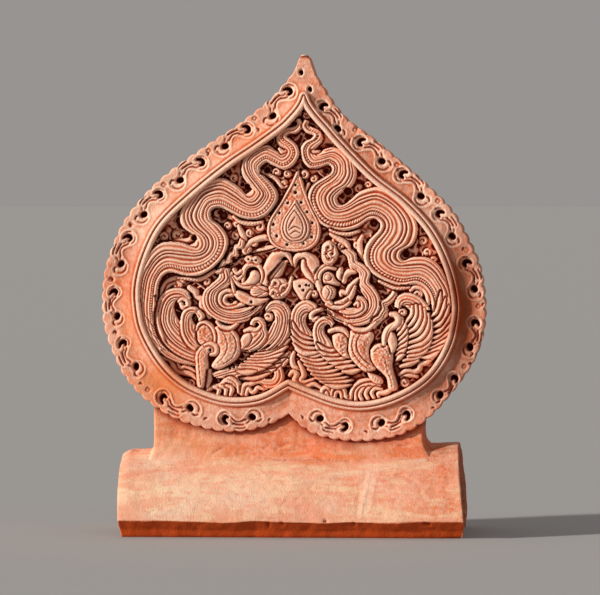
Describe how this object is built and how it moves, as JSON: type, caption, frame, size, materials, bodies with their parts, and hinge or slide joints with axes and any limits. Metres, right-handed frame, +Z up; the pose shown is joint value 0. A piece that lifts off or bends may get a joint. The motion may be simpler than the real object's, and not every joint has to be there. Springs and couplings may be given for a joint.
{
  "type": "ridge tile",
  "caption": "Terracotta ridge tile: a half-round barrel tile whose crown carries an upright leaf-shaped panel carved with two facing phoenixes in a scrolled border.",
  "frame": {"origin": "middle of the bounding box, on the plane of the barrel's two feet", "axes": "+Z up; -Y out of the carved front; +X along the ridge, to the right of someone who faces the front"},
  "size_m": [0.6007, 0.3, 0.75],
  "materials": {
    "terracotta": "matt fired clay, unglazed and weathered"
  },
  "bodies": {
    "root": {"ridge_tile": "terracotta"}
  },
  "joints": []
}
